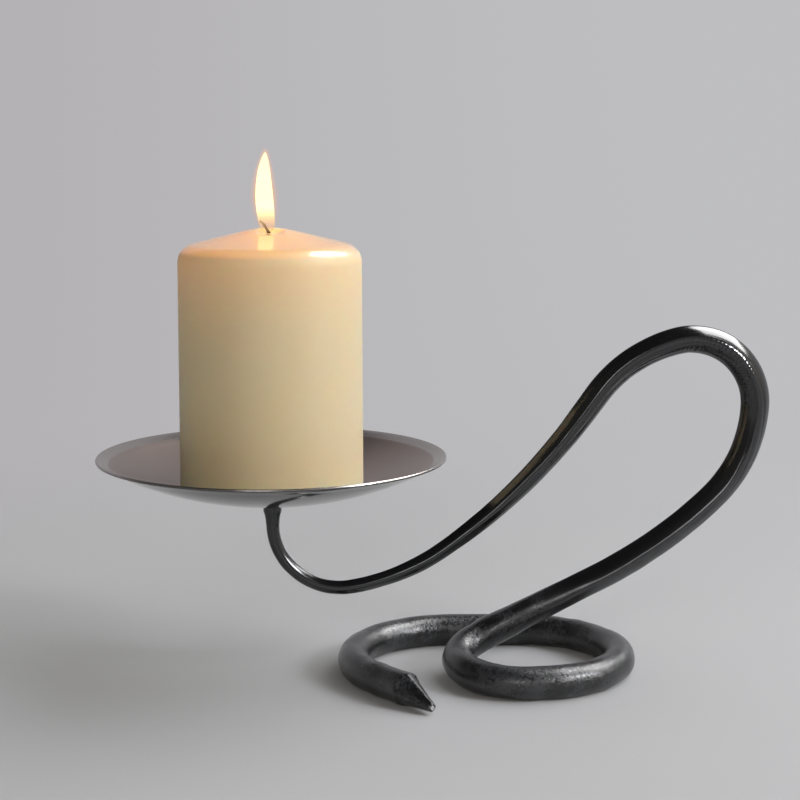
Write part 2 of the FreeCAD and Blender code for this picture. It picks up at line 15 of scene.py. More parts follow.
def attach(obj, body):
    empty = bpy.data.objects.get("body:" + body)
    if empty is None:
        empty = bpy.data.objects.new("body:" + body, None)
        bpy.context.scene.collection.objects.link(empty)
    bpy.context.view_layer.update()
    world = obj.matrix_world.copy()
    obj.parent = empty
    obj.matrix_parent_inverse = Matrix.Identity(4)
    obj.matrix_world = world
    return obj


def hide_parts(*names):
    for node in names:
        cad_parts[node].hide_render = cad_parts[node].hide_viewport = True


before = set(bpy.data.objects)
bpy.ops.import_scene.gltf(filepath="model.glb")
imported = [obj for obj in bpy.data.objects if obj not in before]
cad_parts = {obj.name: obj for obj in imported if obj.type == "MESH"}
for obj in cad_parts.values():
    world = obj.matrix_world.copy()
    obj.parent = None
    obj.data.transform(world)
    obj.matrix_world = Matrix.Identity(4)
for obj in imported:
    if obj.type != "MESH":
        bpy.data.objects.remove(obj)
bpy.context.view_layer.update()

MM = 0.001
DISH_AXIS_X = -64.07
LOG = logging.getLogger("candle_holder")

Pair = tuple[float, float]
Triple = tuple[float, float, float]
Profile = Sequence[Pair]
Piece = bpy.types.Object


# Modelling helpers


def only(piece: Piece) -> None:
    """Make this object the one that is selected and active."""
    bpy.ops.object.select_all(action="DESELECT")
    piece.select_set(True)
    bpy.context.view_layer.objects.active = piece


def edit(piece: Piece) -> None:
    """Open the object's mesh for editing."""
    only(piece)
    bpy.ops.object.mode_set(mode="EDIT")


def edit_all(piece: Piece) -> None:
    """Open the object's mesh for editing, with all of it selected."""
    edit(piece)
    bpy.ops.mesh.select_all(action="SELECT")


def done() -> None:
    """Leave edit mode."""
    bpy.ops.object.mode_set(mode="OBJECT")


def edit_some(piece: Piece, chosen: np.ndarray) -> None:
    """Open the object's mesh for editing, with only these vertices selected."""
    edit(piece)
    bpy.ops.mesh.select_mode(type="VERT")
    bpy.ops.mesh.select_all(action="DESELECT")
    done()
    piece.data.vertices.foreach_set("select", chosen)
    edit(piece)


def scaled(point: Sequence[float]) -> tuple[float, ...]:
    """Millimetres to metres."""
    return tuple(value * MM for value in point)


def apply_place(piece: Piece) -> None:
    """Move the object's place into its mesh, so that the object sits at the origin."""
    only(piece)
    bpy.ops.object.transform_apply(location=True, rotation=True, scale=True)


def coordinates(piece: Piece) -> np.ndarray:
    """The mesh's vertices, in millimetres, one row each."""
    flat = np.zeros(len(piece.data.vertices) * 3)
    piece.data.vertices.foreach_get("co", flat)
    return flat.reshape(-1, 3) / MM


def move_vertices(piece: Piece, places: np.ndarray) -> None:
    """Put the mesh's vertices at these places, in millimetres."""
    piece.data.vertices.foreach_set("co", (places * MM).reshape(-1))
    piece.data.update()


def outward(piece: Piece) -> None:
    """Turn every face of a closed mesh outwards."""
    edit_all(piece)
    bpy.ops.mesh.remove_doubles(threshold=0.002 * MM)
    bpy.ops.mesh.normals_make_consistent(inside=False)
    done()


def dress(piece: Piece, crisp: float, *materials: bpy.types.Material) -> None:
    """Give the mesh its materials, and smooth it but for edges of more than so many degrees."""
    for material in materials:
        piece.data.materials.append(material)
    only(piece)
    bpy.ops.object.shade_smooth_by_angle(angle=math.radians(crisp))


def faded(values: np.ndarray, start: float, length: float) -> np.ndarray:
    """0 up to the start, then rising to 1 over this length."""
    return np.clip((values - start) / length, 0, 1)


def plateau(values: np.ndarray, middle: float, half: float) -> np.ndarray:
    """1 round the middle and 0 beyond this half width, with soft sides."""
    return np.exp(-((values - middle) / half) ** 4)


def turn_from(angle: Any, angles: np.ndarray) -> np.ndarray:
    """Turn from an angle to others the short way round, in radians."""
    return np.angle(np.exp(1j * (angles - angle)))


@dataclass(frozen=True)
class Lathe:
    """Turns a closed piece about an upright axis, ring by ring."""

    axis: Pair
    segments: int = 128

    def turn(self, name: str, profile: Profile, closed: bool = False) -> Piece:
        """Turn a profile into a mesh.

        Args:
            name: the piece's name.
            profile: radius and height of each ring, in millimetres.
            closed: whether the last ring joins the first. Otherwise both ends get a lid.

        Returns:
            The new object, with its place in its mesh.
        """
        radius, height = profile[0]
        bpy.ops.object.select_all(action="DESELECT")
        bpy.ops.mesh.primitive_circle_add(
            vertices=self.segments, radius=radius * MM, location=scaled((*self.axis, height)))
        piece = bpy.context.object
        piece.name = name
        apply_place(piece)
        edit_all(piece)
        if not closed:
            bpy.ops.mesh.edge_face_add()
        for next_radius, next_height in profile[1:]:
            bpy.ops.mesh.extrude_region_move(
                TRANSFORM_OT_translate={"value": (0, 0, (next_height - height) * MM)})
            ratio = next_radius / radius
            bpy.ops.transform.resize(
                value=(ratio, ratio, 1.0), center_override=scaled((*self.axis, next_height)))
            radius, height = next_radius, next_height
        done()
        outward(piece)
        return piece


def arc(centre: Pair, radius: float, start: float, end: float,
        steps: int) -> list[Pair]:
    """Points of an arc in a profile, with both ends.

    Args:
        centre: radius and height of the arc's centre.
        radius: the arc's own radius.
        start: angle of the first point in degrees, 0 outwards and 90 up.
        end: angle of the last point.
        steps: how many steps the arc takes.

    Returns:
        The points, in order.
    """
    points = []
    for step in range(steps + 1):
        angle = math.radians(start + (end - start) * step / steps)
        points.append((centre[0] + radius * math.cos(angle), centre[1] + radius * math.sin(angle)))
    return points


# Materials


class Number:
    """A number on a shader socket, on which Python's operators work."""

    def __init__(self, shader: "Nodes", socket: bpy.types.NodeSocket) -> None:
        """Wrap a socket of these nodes."""
        self.shader = shader
        self.socket = socket

    def _math(self, operation: str, *values: Any) -> "Number":
        """A Math node on these values, links or numbers."""
        node = self.shader.node("ShaderNodeMath", {"operation": operation},
                                dict(enumerate(values)))
        return Number(self.shader, node.outputs[0])

    def __add__(self, other: Any) -> "Number":
        """Sum."""
        return self._math("ADD", self, other)

    def __sub__(self, other: Any) -> "Number":
        """Difference."""
        return self._math("SUBTRACT", self, other)

    def __rsub__(self, other: Any) -> "Number":
        """Difference from a plain number."""
        return self._math("SUBTRACT", other, self)

    def __mul__(self, other: Any) -> "Number":
        """Product."""
        return self._math("MULTIPLY", self, other)

    __radd__ = __add__
    __rmul__ = __mul__

    def power(self, exponent: float) -> "Number":
        """Raised to this power."""
        return self._math("POWER", self, exponent)

    def between(self, low: float, high: float) -> "Number":
        """0 at low and below, 1 at high and above, smooth between."""
        node = self.shader.node("ShaderNodeMapRange", {"interpolation_type": "SMOOTHSTEP"},
                                {"Value": self, "From Min": low, "From Max": high})
        return Number(self.shader, node.outputs["Result"])


class Nodes:
    """A tree of shader nodes, built by expressions."""

    def __init__(self, tree: bpy.types.NodeTree) -> None:
        """Work on this tree."""
        self.tree = tree

    def node(self, kind: str, settings: dict[str, Any], sockets: dict[Any, Any]) -> bpy.types.Node:
        """Add any node.

        Args:
            kind: the node's type.
            settings: its properties, set first.
            sockets: a value or a link for each input, by name or number.

        Returns:
            The node.
        """
        node = self.tree.nodes.new(kind)
        for name, value in settings.items():
            setattr(node, name, value)
        for name, value in sockets.items():
            if isinstance(value, Number):
                value = value.socket
            if isinstance(value, bpy.types.NodeSocket):
                self.tree.links.new(value, node.inputs[name])
            else:
                node.inputs[name].default_value = value
        return node

    def place(self) -> bpy.types.NodeSocket:
        """The object's own coordinates."""
        return self.node("ShaderNodeTexCoord", {}, {}).outputs["Object"]

    def attribute(self, name: str) -> Number:
        """A number kept on the mesh."""
        node = self.node("ShaderNodeAttribute", {"attribute_name": name}, {})
        return Number(self, node.outputs["Fac"])

    def stretched(self, vector: Any, scale: Sequence[float]) -> bpy.types.NodeSocket:
        """Coordinates with each direction scaled."""
        mapping = self.node("ShaderNodeMapping", {}, {"Vector": vector, "Scale": tuple(scale)})
        return mapping.outputs["Vector"]

    def moved(self, vector: Any, offset: Sequence[float]) -> bpy.types.NodeSocket:
        """Coordinates moved by this many millimetres."""
        mapping = self.node("ShaderNodeMapping", {}, {"Vector": vector, "Location": scaled(offset)})
        return mapping.outputs["Vector"]

    def length_of(self, vector: Any) -> Number:
        """Length of a vector, in millimetres."""
        node = self.node("ShaderNodeVectorMath", {"operation": "LENGTH"}, {0: vector})
        return Number(self, node.outputs["Value"]) * (1.0 / MM)

    def noise(self, vector: Any, per_mm: float, detail: float = 3.0, rough: float = 0.5) -> Number:
        """Soft noise with this many features to the millimetre."""
        node = self.node("ShaderNodeTexNoise", {}, {
            "Vector": vector, "Scale": per_mm / MM, "Detail": detail, "Roughness": rough})
        return Number(self, node.outputs[0])

    def height_of(self, vector: Any, axis: str = "Z") -> Number:
        """One coordinate, in millimetres."""
        node = self.node("ShaderNodeSeparateXYZ", {}, {0: vector})
        return Number(self, node.outputs[axis]) * (1.0 / MM)

    def ramp(self, value: Number, stops: Sequence[tuple[float, Sequence[float]]]) -> Any:
        """Colour of a number.

        Args:
            value: the number, from 0 to 1.
            stops: positions from 0 to 1, each with its colour.

        Returns:
            The colour's socket.
        """
        node = self.node("ShaderNodeValToRGB", {}, {0: value})
        elements = node.color_ramp.elements
        while len(elements) < len(stops):
            elements.new(1.0)
        for element, (position, color) in zip(elements, stops):
            element.position = position
            element.color = (*color, 1.0)
        return node.outputs["Color"]

    def mix(self, factor: Any, first: Any, second: Any) -> bpy.types.NodeSocket:
        """Blend of two colours, each a link or a plain colour."""
        first, second = [(*color, 1.0) if isinstance(color, tuple) else color
                         for color in (first, second)]
        node = self.node("ShaderNodeMix", {"data_type": "RGBA"}, {0: factor, 6: first, 7: second})
        return node.outputs[2]


class Shader(Nodes):
    """A node material with one Principled shader."""

    def __init__(self, name: str, **constants: Any) -> None:
        """Start a material, and set the shader's sockets that don't vary."""
        self.material = bpy.data.materials.new(name)
        self.material.use_nodes = True
        super().__init__(self.material.node_tree)
        self.principled = self.tree.nodes["Principled BSDF"]
        for socket, value in constants.items():
            self.principled.inputs[socket.replace("_", " ")].default_value = value

    def bump(self, height: Number, distance: float) -> None:
        """Emboss the surface by a height from 0 to 1, this many millimetres deep."""
        node = self.node("ShaderNodeBump", {}, {"Height": height, "Distance": distance * MM})
        self.vary(Normal=node.outputs[0])

    def vary(self, **links: Any) -> None:
        """Link the shader's sockets that vary over the surface."""
        for socket, value in links.items():
            if isinstance(value, Number):
                value = value.socket
            self.tree.links.new(value, self.principled.inputs[socket.replace("_", " ")])


@dataclass(frozen=True)
class ForgedIron:
    """Blackened, waxed iron with the marks of the hammer along the bar."""

    black: Triple = (0.006, 0.006, 0.0065)
    worn: Triple = (0.13, 0.133, 0.14)
    pit_depth: float = 0.06

    def material(self) -> bpy.types.Material:
        """Build the material. It reads bar_space, the place along and round the bar."""
        shader = Shader("blackened_iron", IOR=1.65)
        kept = shader.node("ShaderNodeAttribute", {"attribute_name": "bar_space"}, {})
        space = kept.outputs["Vector"]
        foot = shader.attribute("foot")
        ridge = shader.attribute("ridge")
        rough_side = shader.attribute("rough_side")
        streaks = shader.noise(shader.stretched(space, (0.05, 1.0, 1.0)), 0.9, 3.0)
        patches = shader.noise(space, 0.09, 3.0, 0.6)
        grain = shader.noise(shader.stretched(space, (1.0, 0.7, 0.7)), 1.1, 4.0, 0.7)
        pits = grain.between(0.40, 0.62)
        wear = (patches * 0.55 + grain * 0.45).between(0.42, 0.62)
        shader.vary(
            Base_Color=shader.mix(wear * (foot * 0.3 + rough_side * 0.3) + ridge * 0.25,
                                  self.black, self.worn),
            Metallic=wear * (foot * 0.1 + rough_side * 0.15) + ridge * 0.2,
            Roughness=streaks * 0.12 + patches * 0.1 + foot * 0.03 + rough_side * 0.22 + 0.06,
        )
        shader.bump(pits * (foot * 0.8 + rough_side * 0.5) + streaks * 0.6 * (1 - foot * 0.7),
                    self.pit_depth)
        return shader.material


@dataclass(frozen=True)
class GroundSteel:
    """Bare steel where the end of the bar was ground off."""

    color: Triple = (0.86, 0.85, 0.84)
    scratched: Triple = (0.6, 0.58, 0.56)

    def material(self) -> bpy.types.Material:
        """Build the material."""
        shader = Shader("ground_steel", Metallic=1.0)
        grain = shader.noise(shader.stretched(shader.place(), (1.0, 0.15, 1.0)), 2.5)
        shader.vary(
            Base_Color=shader.mix(grain, self.color, self.scratched),
            Roughness=grain * 0.2 + 0.18)
        return shader.material


@dataclass(frozen=True)
class SpunSteel:
    """Satin steel with the fine rings that spinning leaves; painted shade makes the underside
    darker, and a painted reflection makes the lip lighter.
    """

    inside: Triple = (0.285, 0.228, 0.207)
    cloudy: Triple = (0.315, 0.258, 0.236)
    # Painted shade: the underside is the same steel, painted darker for the shade beneath the dish.
    under: Triple = (0.115, 0.113, 0.11)
    # Painted reflection: the lip is painted lighter than the bowl, for the light its slope
    # reflects.
    lip: Triple = (0.37, 0.34, 0.325)
    centre: Pair = (DISH_AXIS_X, 0.0)
    crease: float = 61.3

    def material(self) -> bpy.types.Material:
        """Build the material."""
        shader = Shader("spun_steel", Metallic=1.0)
        inner = shader.attribute("inner_side")
        centred = shader.moved(shader.place(), (-self.centre[0], -self.centre[1], 0))
        radius = shader.length_of(shader.stretched(centred, (1.0, 1.0, 0.0)))
        ring_place = shader.node("ShaderNodeCombineXYZ", {}, {0: radius})
        rings = shader.noise(ring_place.outputs[0], 0.9 * MM, 3.0, 0.6)
        cloud = shader.noise(centred, 0.025, 3.0, 0.55)
        lip = radius.between(self.crease - 0.4, self.crease + 0.6)
        satin = shader.mix(cloud, self.inside, self.cloudy)
        # The lip's lighter colour is a painted reflection; its lower roughness is real.
        upper = shader.mix(lip, satin, self.lip)
        shader.vary(
            # The underside takes the darker colour as painted shade.
            Base_Color=shader.mix(inner, self.under, upper),
            Roughness=rings * 0.08 + inner * (cloud * 0.1 + 0.2 - lip * 0.08) + 0.05)
        shader.bump(rings, 0.006)
        return shader.material


@dataclass(frozen=True)
class Wax:
    """Ivory wax; the flame's light from above is painted in as glow on the dome and down the side.
    """

    ivory: Triple = (0.80, 0.68, 0.43)
    deep: Triple = (0.76, 0.60, 0.32)
    # Painted light: colours of the flame's glow on the wax and of a painted glow spot before the
    # wick.
    painted_flame_light: Triple = (0.62, 0.18, 0.012)
    painted_wick_glow: Triple = (0.62, 0.42, 0.10)
    top: float = 173.1
    melt_and_painted_glow_edge: Pair = (163.4, 165.4)
    painted_glow_depth: Pair = (62.0, 6.0)
    painted_glow_reach: Pair = (4.0, 52.0)
    painted_wick_glow_reach: Pair = (1.0, 9.0)
    wick: Pair = (DISH_AXIS_X, 0.0)

    def material(self) -> bpy.types.Material:
        """Build the material."""
        shader = Shader(
            "ivory_wax", Subsurface_Weight=0.75, Subsurface_Scale=0.016, IOR=1.45,
            Subsurface_Radius=(1.0, 0.5, 0.16), Coat_Roughness=0.1, Emission_Strength=1.0)
        place = shader.place()
        height = shader.height_of(place)
        cloud = shader.noise(shader.stretched(place, (1.0, 1.0, 0.4)), 0.035, 3.0, 0.5)
        fine = shader.noise(place, 0.8, 3.0, 0.5)
        away = shader.length_of(
            shader.moved(place, (-self.wick[0], -self.wick[1], -self.top)))
        # The melted top: glossier wax, and where the painted glow of the flame is strongest.
        melted = height.between(*self.melt_and_painted_glow_edge)
        below = height.between(*(self.top - depth for depth in self.painted_glow_depth))
        near_flame = 1 - away.between(*self.painted_glow_reach)
        # Painted light: emission for the flame's light on the dome, fading down the side.
        painted_light_share = melted * (near_flame * 0.55 + 0.5) + below.power(2.0) * (1 - melted) * 0.2
        # Painted light: a glow spot on the melted wax before the wick.
        painted_wick_glow = (1 - away.between(*self.painted_wick_glow_reach)) * melted
        painted_flame_light = shader.mix(painted_light_share, (0.0, 0.0, 0.0), self.painted_flame_light)
        shader.vary(
            Base_Color=shader.mix(cloud * 0.7, self.ivory, self.deep),
            Emission_Color=shader.mix(painted_wick_glow * 0.8, painted_flame_light, self.painted_wick_glow),
            Roughness=fine * 0.08 + cloud * 0.12 + 0.46 - melted * 0.2,
            Coat_Weight=melted)
        shader.bump(cloud * 0.85 + fine * 0.15, 0.06)
        return shader.material


@dataclass(frozen=True)
class CharredWick:
    """Cotton cord, black at the wax and brown at its glowing tip."""

    root: float = 171.8
    tip: float = 179.5

    def material(self) -> bpy.types.Material:
        """Build the material."""
        shader = Shader("charred_wick", Roughness=0.9, Emission_Strength=1.0,
                        Specular_IOR_Level=0.2)
        place = shader.place()
        rise = shader.height_of(place).between(self.root, self.tip)
        strands = shader.noise(shader.stretched(place, (1.0, 1.0, 0.35)), 1.8)
        shader.vary(
            Base_Color=shader.ramp(rise, [
                (0.0, (0.014, 0.01, 0.008)), (0.55, (0.03, 0.017, 0.01)),
                (1.0, (0.25, 0.09, 0.03))]),
            Emission_Color=shader.ramp(rise, [
                (0.0, (0.0, 0.0, 0.0)), (0.7, (0.01, 0.003, 0.0)), (1.0, (0.35, 0.10, 0.02))]))
        shader.bump(strands, 0.15)
        return shader.material


class FlameLayer(Enum):
    """The flame's shells, from the bright middle outwards."""

    HEART = "heart"
    SHEATH = "sheath"
    HALO = "halo"
    HAZE = "haze"


@dataclass(frozen=True)
class Glow:
    """One shell of the flame, see-through towards its foot: the heart and sheath are burning gas,
    the halo and haze a painted glow round it.
    """

    layer: FlameLayer
    foot_level: float
    tip_level: float

    def material(self) -> bpy.types.Material:
        """Build the material of this shell."""
        shader = Shader("flame_" + self.layer.value, Roughness=1.0, Specular_IOR_Level=0.0,
                        Base_Color=(0.0, 0.0, 0.0, 1.0), Emission_Strength=1.0)
        rise = shader.height_of(shader.place()).between(self.foot_level, self.tip_level)
        if self.layer is FlameLayer.HEART:
            color = shader.ramp(rise, [
                (0.0, (0.95, 0.52, 0.26)), (0.1, (1.3, 0.95, 0.5)), (0.25, (2.4, 2.1, 0.98)),
                (0.8, (2.6, 2.3, 1.02)), (1.0, (2.2, 1.8, 0.9))])
            alpha = rise.between(-0.05, 0.16) * 0.8 + 0.16
        else:
            # Painted glow: the halo and haze shells shine faintly round the flame.
            strength = {FlameLayer.SHEATH: 0.2, FlameLayer.HALO: 0.12, FlameLayer.HAZE: 0.06}
            color = shader.ramp(rise, [(0.0, (0.95, 0.45, 0.25)), (1.0, (1.0, 0.58, 0.40))])
            alpha = rise.between(-0.1, 0.5) * strength[self.layer]
        shader.vary(Emission_Color=color, Alpha=alpha)
        return shader.material


# The forged bar


class Way(Enum):
    """The plane in which a heading is measured."""

    TABLE = "table"
    LIFT = "lift"
    LOOP = "loop"

    def heading(self, degrees: float) -> Vector:
        """Unit vector at this angle in the plane."""
        across, up = math.cos(math.radians(degrees)), math.sin(math.radians(degrees))
        return {Way.TABLE: Vector((across, up, 0)), Way.LIFT: Vector((0, across, up)),
                Way.LOOP: Vector((across, 0, up))}[self]


@dataclass(frozen=True)
class Run:
    """One stretch of the bar: a bend, or a straight where the radius is 0.

    width and fullness are those at its end. A fullness of 1 is a round bar.
    """

    way: Way
    degrees: float
    radius: float = 0.0
    length: float = 0.0
    width: float = 12.7
    fullness: float = 1.0

    def bend(self, place: Vector, heading: Vector) -> tuple[Vector, float, Vector]:
        """Axis, angle and centre of the bend, for a bar that arrives here with this heading."""
        end = self.way.heading(self.degrees)
        axis = heading.cross(end).normalized()
        return axis, heading.angle(end), place + axis.cross(heading) * self.radius


@dataclass
class Station:
    """One ring of the bar: where it is, how it faces and its section."""

    place: Vector
    heading: Vector
    normal: Vector
    along: float
    width: float
    fullness: float


def sweep(name: str, start: Vector, first: Vector, runs: Sequence[Run], radius: float,
          corners: int, step: Callable[[Run], float]) -> tuple[Piece, list[Station]]:
    """Sweep a ring along straights and bends, by extruding and spinning it.

    Args:
        name: the piece's name.
        start: middle of the first ring, in millimetres.
        first: heading of the first ring.
        runs: the straights and bends, in order.
        radius: the ring's radius while it is swept, in millimetres.
        corners: how many corners the ring has.
        step: the spacing of the rings on a run, in millimetres.

    Returns:
        The open tube, and one station for each of its rings, in the order of its vertices.
    """
    bpy.ops.object.select_all(action="DESELECT")
    turn = first.to_track_quat("Z", "Y")
    bpy.ops.mesh.primitive_circle_add(vertices=corners, radius=radius * MM,
                                      location=start * MM, rotation=turn.to_euler())
    piece = bpy.context.object
    piece.name = name
    apply_place(piece)
    edit_all(piece)
    place, heading = start, first
    normal = Vector((0, 0, 1)) - heading * heading.z
    if normal.length < 0.1:
        normal = Vector((0, 1, 0))
    normal.normalize()
    along, width, fullness = 0.0, runs[0].width, runs[0].fullness
    stations = [Station(place, heading, normal, along, width, fullness)]
    for run in runs:
        axis, angle, centre = run.bend(place, heading)
        length = run.length or run.radius * angle
        steps = max(1, round(length / step(run)))
        if run.radius:
            bpy.ops.mesh.spin(steps=steps, angle=angle, center=centre * MM, axis=-axis)
        for index in range(1, steps + 1):
            share = index / steps
            if run.radius:
                turned = Quaternion(axis, angle * share)
                facing = (centre + turned @ (place - centre), turned @ heading, turned @ normal)
            else:
                bpy.ops.mesh.extrude_region_move(
                    TRANSFORM_OT_translate={"value": heading * (length / steps * MM)})
                facing = (place + heading * (length * share), heading, normal)
            stations.append(Station(*facing, along + length * share,
                                    width + (run.width - width) * share,
                                    fullness + (run.fullness - fullness) * share))
        place, heading, normal = facing
        along, width, fullness = along + length, run.width, run.fullness
    done()
    return piece, stations


def lid(piece: Piece, first: int, count: int) -> None:
    """Close a ring of an open tube with one face.

    Args:
        piece: the tube.
        first: index of the ring's first vertex.
        count: how many vertices the ring has.
    """
    chosen = np.zeros(len(piece.data.vertices), bool)
    chosen[first:first + count] = True
    edit_some(piece, chosen)
    bpy.ops.mesh.edge_face_add()
    done()


def store(piece: Piece, name: str, values: np.ndarray) -> None:
    """Keep a number for each vertex, or a vector where there is a third axis of 3."""
    vectors = values.ndim == 3
    attribute = piece.data.attributes.new(name, "FLOAT_VECTOR" if vectors else "FLOAT", "POINT")
    attribute.data.foreach_set("vector" if vectors else "value", values.reshape(-1))


@dataclass
class ForgedStem:
    """The whole stand: one bar, swept ring by ring and then hammered."""

    foot_width: float = 12.7
    foot_height: float = 6.05
    tail_fullness: float = 0.86
    point_length: float = 14.5
    point_width: float = 3.8
    point_height: float = 2.8
    end_round: float = 0.7
    riser_slope: float = 25.5
    crown_radius: float = 26.0
    ring_step: float = 0.85
    ripple_step: float = 0.4
    end_step: float = 0.14
    corners: int = 4
    side_steps: int = 16
    foot_end: float = 338.0
    foot_fade: float = 30.0
    arris_angle: float = 4.0
    rough_middle: float = 135.0
    rough_half: float = 42.0
    rough_fade: float = 20.0
    rough_end: float = 470.0
    rough_end_fade: float = 40.0
    dents: int = 620
    dent_reach: Pair = (2.2, 5.5)
    dent_depth: Pair = (0.05, 0.2)
    groove_depth: float = 0.035
    nicks: tuple[tuple[float, float, float, float], ...] = (
        (17.5, 48.0, 0.9, 0.4), (15.6, 60.0, 0.6, 0.3), (24.0, 40.0, 0.8, 0.18))
    front_facet: Pair = (0.975, 0.865)
    facet_range: Pair = (478.0, 520.0)
    ripple_range: Pair = (485.0, 524.0)
    ripple_pitch: float = 1.8
    ripple_angle: float = 64.0
    ripple_half: float = 34.0
    ripple_depth: float = 0.42
    seams: tuple[tuple[float, float, float, float], ...] = (
        (430.0, 500.0, 118.0, 62.0), (438.0, 505.0, 96.0, 48.0), (448.0, 492.0, 134.0, 108.0),
        (520.0, 640.0, 52.0, 60.0), (512.0, 585.0, 30.0, 44.0), (560.0, 668.0, 76.0, 68.0),
        (400.0, 452.0, 98.0, 92.0))
    seam_depth: float = 0.28
    seam_half: float = 0.55
    seed: int = 11
    runs: list[Run] = field(default_factory=lambda: [
        Run(Way.TABLE, 121.0, length=19.5),
        Run(Way.TABLE, 57.0, radius=41.0),
        Run(Way.TABLE, -7.0, radius=41.0),
        Run(Way.TABLE, -7.0, length=25.0),
        Run(Way.TABLE, -90.0, radius=37.0),
        Run(Way.TABLE, -180.0, radius=36.5),
        Run(Way.TABLE, -180.0, length=3.0),
        Run(Way.LIFT, 3.0, radius=24.5),
        Run(Way.LIFT, 3.0, length=3.0),
        Run(Way.LOOP, 25.5, radius=13.5),
        Run(Way.LOOP, 25.5, length=51.0, width=11.2, fullness=0.85),
        Run(Way.LOOP, 43.5, radius=173.0, width=11.2, fullness=0.85),
        Run(Way.LOOP, 87.0, radius=52.0, width=11.8, fullness=0.85),
        Run(Way.LOOP, 193.0, radius=26.0, width=10.7, fullness=0.85),
        Run(Way.LOOP, 233.5, radius=54.0, width=10.1, fullness=0.82),
        Run(Way.LOOP, 233.5, length=10.0, width=9.86, fullness=0.82),
        Run(Way.LOOP, 213.6, radius=217.0, width=6.7, fullness=0.82),
        Run(Way.LOOP, 188.0, radius=84.5, width=5.7, fullness=0.82),
        Run(Way.LOOP, 121.0, radius=27.0, width=5.1, fullness=0.96),
        Run(Way.LOOP, 90.0, radius=24.0, width=5.3, fullness=0.96),
        *(Run(Way.LOOP, 90.0, length=length, width=width) for length, width in (
            (0.2, 5.4), (2.2, 5.7), (1.6, 6.35), (1.3, 7.2), (4.1, 7.2))),
    ])

    def build(self) -> Piece:
        """Sweep, shape and hammer the bar.

        Returns:
            The finished stem, dressed.
        """
        first = self.runs[0].way.heading(self.runs[0].degrees)
        end = Run(self.runs[0].way, self.runs[0].degrees, length=self.end_round)
        point = Run(self.runs[0].way, self.runs[0].degrees,
                    length=self.point_length - self.end_round)
        ring = self.corners * self.side_steps
        piece, stations = sweep("forged_bar", self.start_place(), first,
                                [end, point, *self.runs], self.foot_width / 2, ring, self.spacing)
        self.draw_point(stations)
        self.square_riser(stations)
        self.shape(piece, stations)
        lid(piece, 0, ring)
        lid(piece, ring * (len(stations) - 1), ring)
        edit_all(piece)
        bpy.ops.mesh.normals_make_consistent(inside=False)
        done()
        dress(piece, 58.0, ForgedIron().material(), GroundSteel().material())
        ground_end = piece.data.polygons[-2]
        ground_end.material_index = 1
        return piece

    def spacing(self, run: Run) -> float:
        """Spacing of the rings on a run, finer on the rounded end and where the bar is rippled."""
        if run.length == self.end_round:
            return self.end_step
        return self.ripple_step if run.radius == self.crown_radius else self.ring_step

    def start_place(self) -> Vector:
        """Where the bar starts, so that its last ring lies under the dish."""
        place = Vector((0, 0, self.foot_height))
        heading = self.runs[0].way.heading(self.runs[0].degrees)
        start = place - heading * self.point_length
        for run in self.runs:
            axis, angle, centre = run.bend(place, heading)
            heading = run.way.heading(run.degrees)
            if run.radius:
                place = centre + Quaternion(axis, angle) @ (place - centre)
            else:
                place = place + heading * run.length
        return start + Vector((DISH_AXIS_X - place.x, -place.y, 0))

    def draw_point(self, stations: list[Station]) -> None:
        """Narrow the first stations to the drawn-down point, whose end is near the table."""
        for station in stations:
            share = station.along / self.point_length
            if share > 1.0:
                break
            station.width = self.point_width + (self.foot_width - self.point_width) * share
            inset = max(0.0, self.end_round - station.along)
            station.width -= 2 * (self.end_round - math.sqrt(self.end_round ** 2 - inset ** 2))
            station.place.z = self.point_height + (self.foot_height - self.point_height) * share
            station.fullness = self.tail_fullness

    def square_riser(self, stations: list[Station]) -> None:
        """Turn the section on the straight riser until a corner faces the front."""
        riser = [station for station in stations
                 if (station.heading - Way.LOOP.heading(self.riser_slope)).length < 1e-4]
        last = riser[-1]
        target = Way.LOOP.heading(self.riser_slope + 90.0)
        turn = math.atan2(last.normal.cross(target).dot(last.heading), last.normal.dot(target))
        begin, end = riser[0].along, last.along
        for station in stations:
            share = min(1.0, max(0.0, (station.along - begin) / (end - begin)))
            station.normal = Quaternion(station.heading, turn * share) @ station.normal

    def outline(self, angles: np.ndarray, fullness: np.ndarray) -> np.ndarray:
        """Radius of a section of four bowed sides, for a bar that is 2 wide over its corners.

        Args:
            angles: angle of each corner of the ring.
            fullness: how bowed the sides are at each station, 1 for a round bar.

        Returns:
            One row of radii for each station.
        """
        off_side = np.mod(angles, np.pi / 2)[None, :] - np.pi / 4
        full = fullness[:, None]
        centre = (1 - full ** 2) / (math.sqrt(2) - 2 * full)
        return centre * np.cos(off_side) + np.sqrt(
            (full - centre) ** 2 - (centre * np.sin(off_side)) ** 2)

